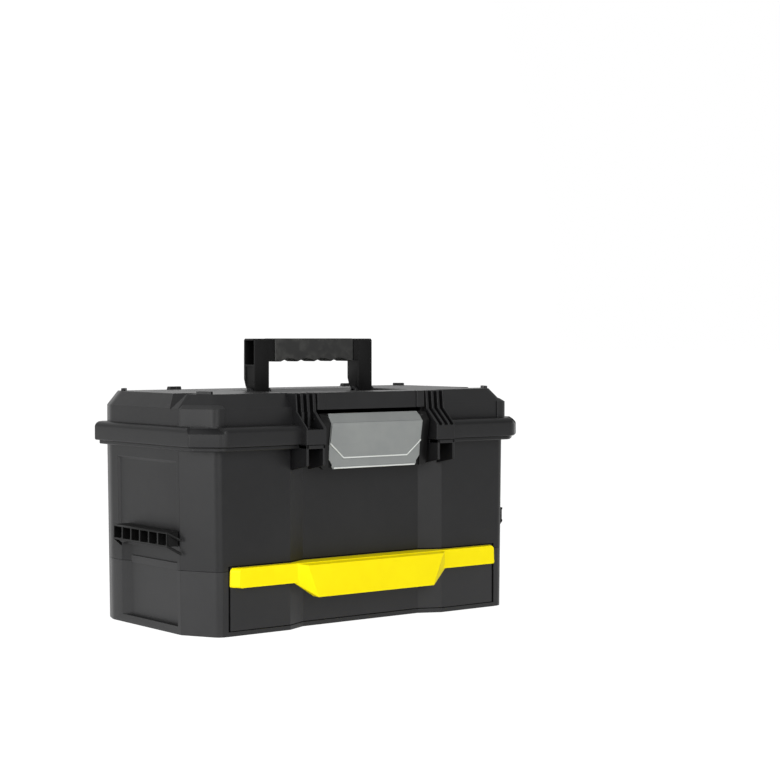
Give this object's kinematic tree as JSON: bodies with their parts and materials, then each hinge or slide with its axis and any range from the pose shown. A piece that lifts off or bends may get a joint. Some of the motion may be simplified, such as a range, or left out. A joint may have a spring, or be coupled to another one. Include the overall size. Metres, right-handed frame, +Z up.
{
  "type": "tool box",
  "caption": "Portable tool box: deep tub with a lift-out tote tray, hinged lid with a centre latch and folding carrying handle, and a full-width pull-out drawer in the base.",
  "frame": {"origin": "centre of the overall box, on the plane the tool box stands on", "axes": "+X along the front towards the viewer's right, -Y out of the front (latch and drawer side), +Z up"},
  "size_m": [0.48, 0.251, 0.3213],
  "materials": {
    "case_plastic": "fine moulded grain, satin black",
    "trim_plastic": "satin black",
    "pull_yellow": "smooth bright yellow",
    "latch_silver": "satin silver grey",
    "grip_rubber": "soft matt",
    "pin_steel": "plain",
    "tray_plastic": "satin black"
  },
  "bodies": {
    "case": {"base_shell": "case_plastic", "tub": "case_plastic", "side_grip_left": "trim_plastic", "side_grip_right": "trim_plastic", "latch_keeper": "trim_plastic", "hinge_pin_left": "pin_steel", "hinge_pin_right": "pin_steel", "case_screws": "pin_steel"},
    "lid": {"lid_shell": "case_plastic", "latch_pin_left": "pin_steel", "latch_pin_right": "pin_steel", "handle_pin_left": "pin_steel", "handle_pin_right": "pin_steel"},
    "latch": {"latch_lever": "trim_plastic", "latch_plate": "latch_silver"},
    "handle": {"handle_frame": "trim_plastic", "handle_grip": "grip_rubber"},
    "drawer": {"drawer_tray": "tray_plastic", "drawer_front": "case_plastic", "drawer_pull": "pull_yellow", "divider_left": "tray_plastic", "divider_middle": "tray_plastic", "divider_right": "tray_plastic"},
    "tote": {"tote_tray": "tray_plastic", "tote_handle": "pull_yellow"}
  },
  "joints": [
    {"name": "lid_hinge", "type": "hinge", "parent": "case", "child": "lid", "pos_m": [0, 0.1205, 0.206], "axis": [-1, 0, 0], "range_deg": [0, 100]},
    {"name": "latch_hinge", "type": "hinge", "parent": "lid", "child": "latch", "pos_m": [0, -0.1055, 0.232], "axis": [-1, 0, 0], "range_deg": [0, 75]},
    {"name": "handle_fold", "type": "hinge", "parent": "lid", "child": "handle", "pos_m": [0, 0.012, 0.2585], "axis": [1, 0, 0], "range_deg": [0, 90]},
    {"name": "drawer_slide", "type": "slide", "parent": "case", "child": "drawer", "axis": [0, -1, 0], "range_m": [0, 0.15]},
    {"name": "tote_lift", "type": "slide", "parent": "case", "child": "tote", "axis": [0, 0, 1], "range_m": [0, 0.014]}
  ]
}
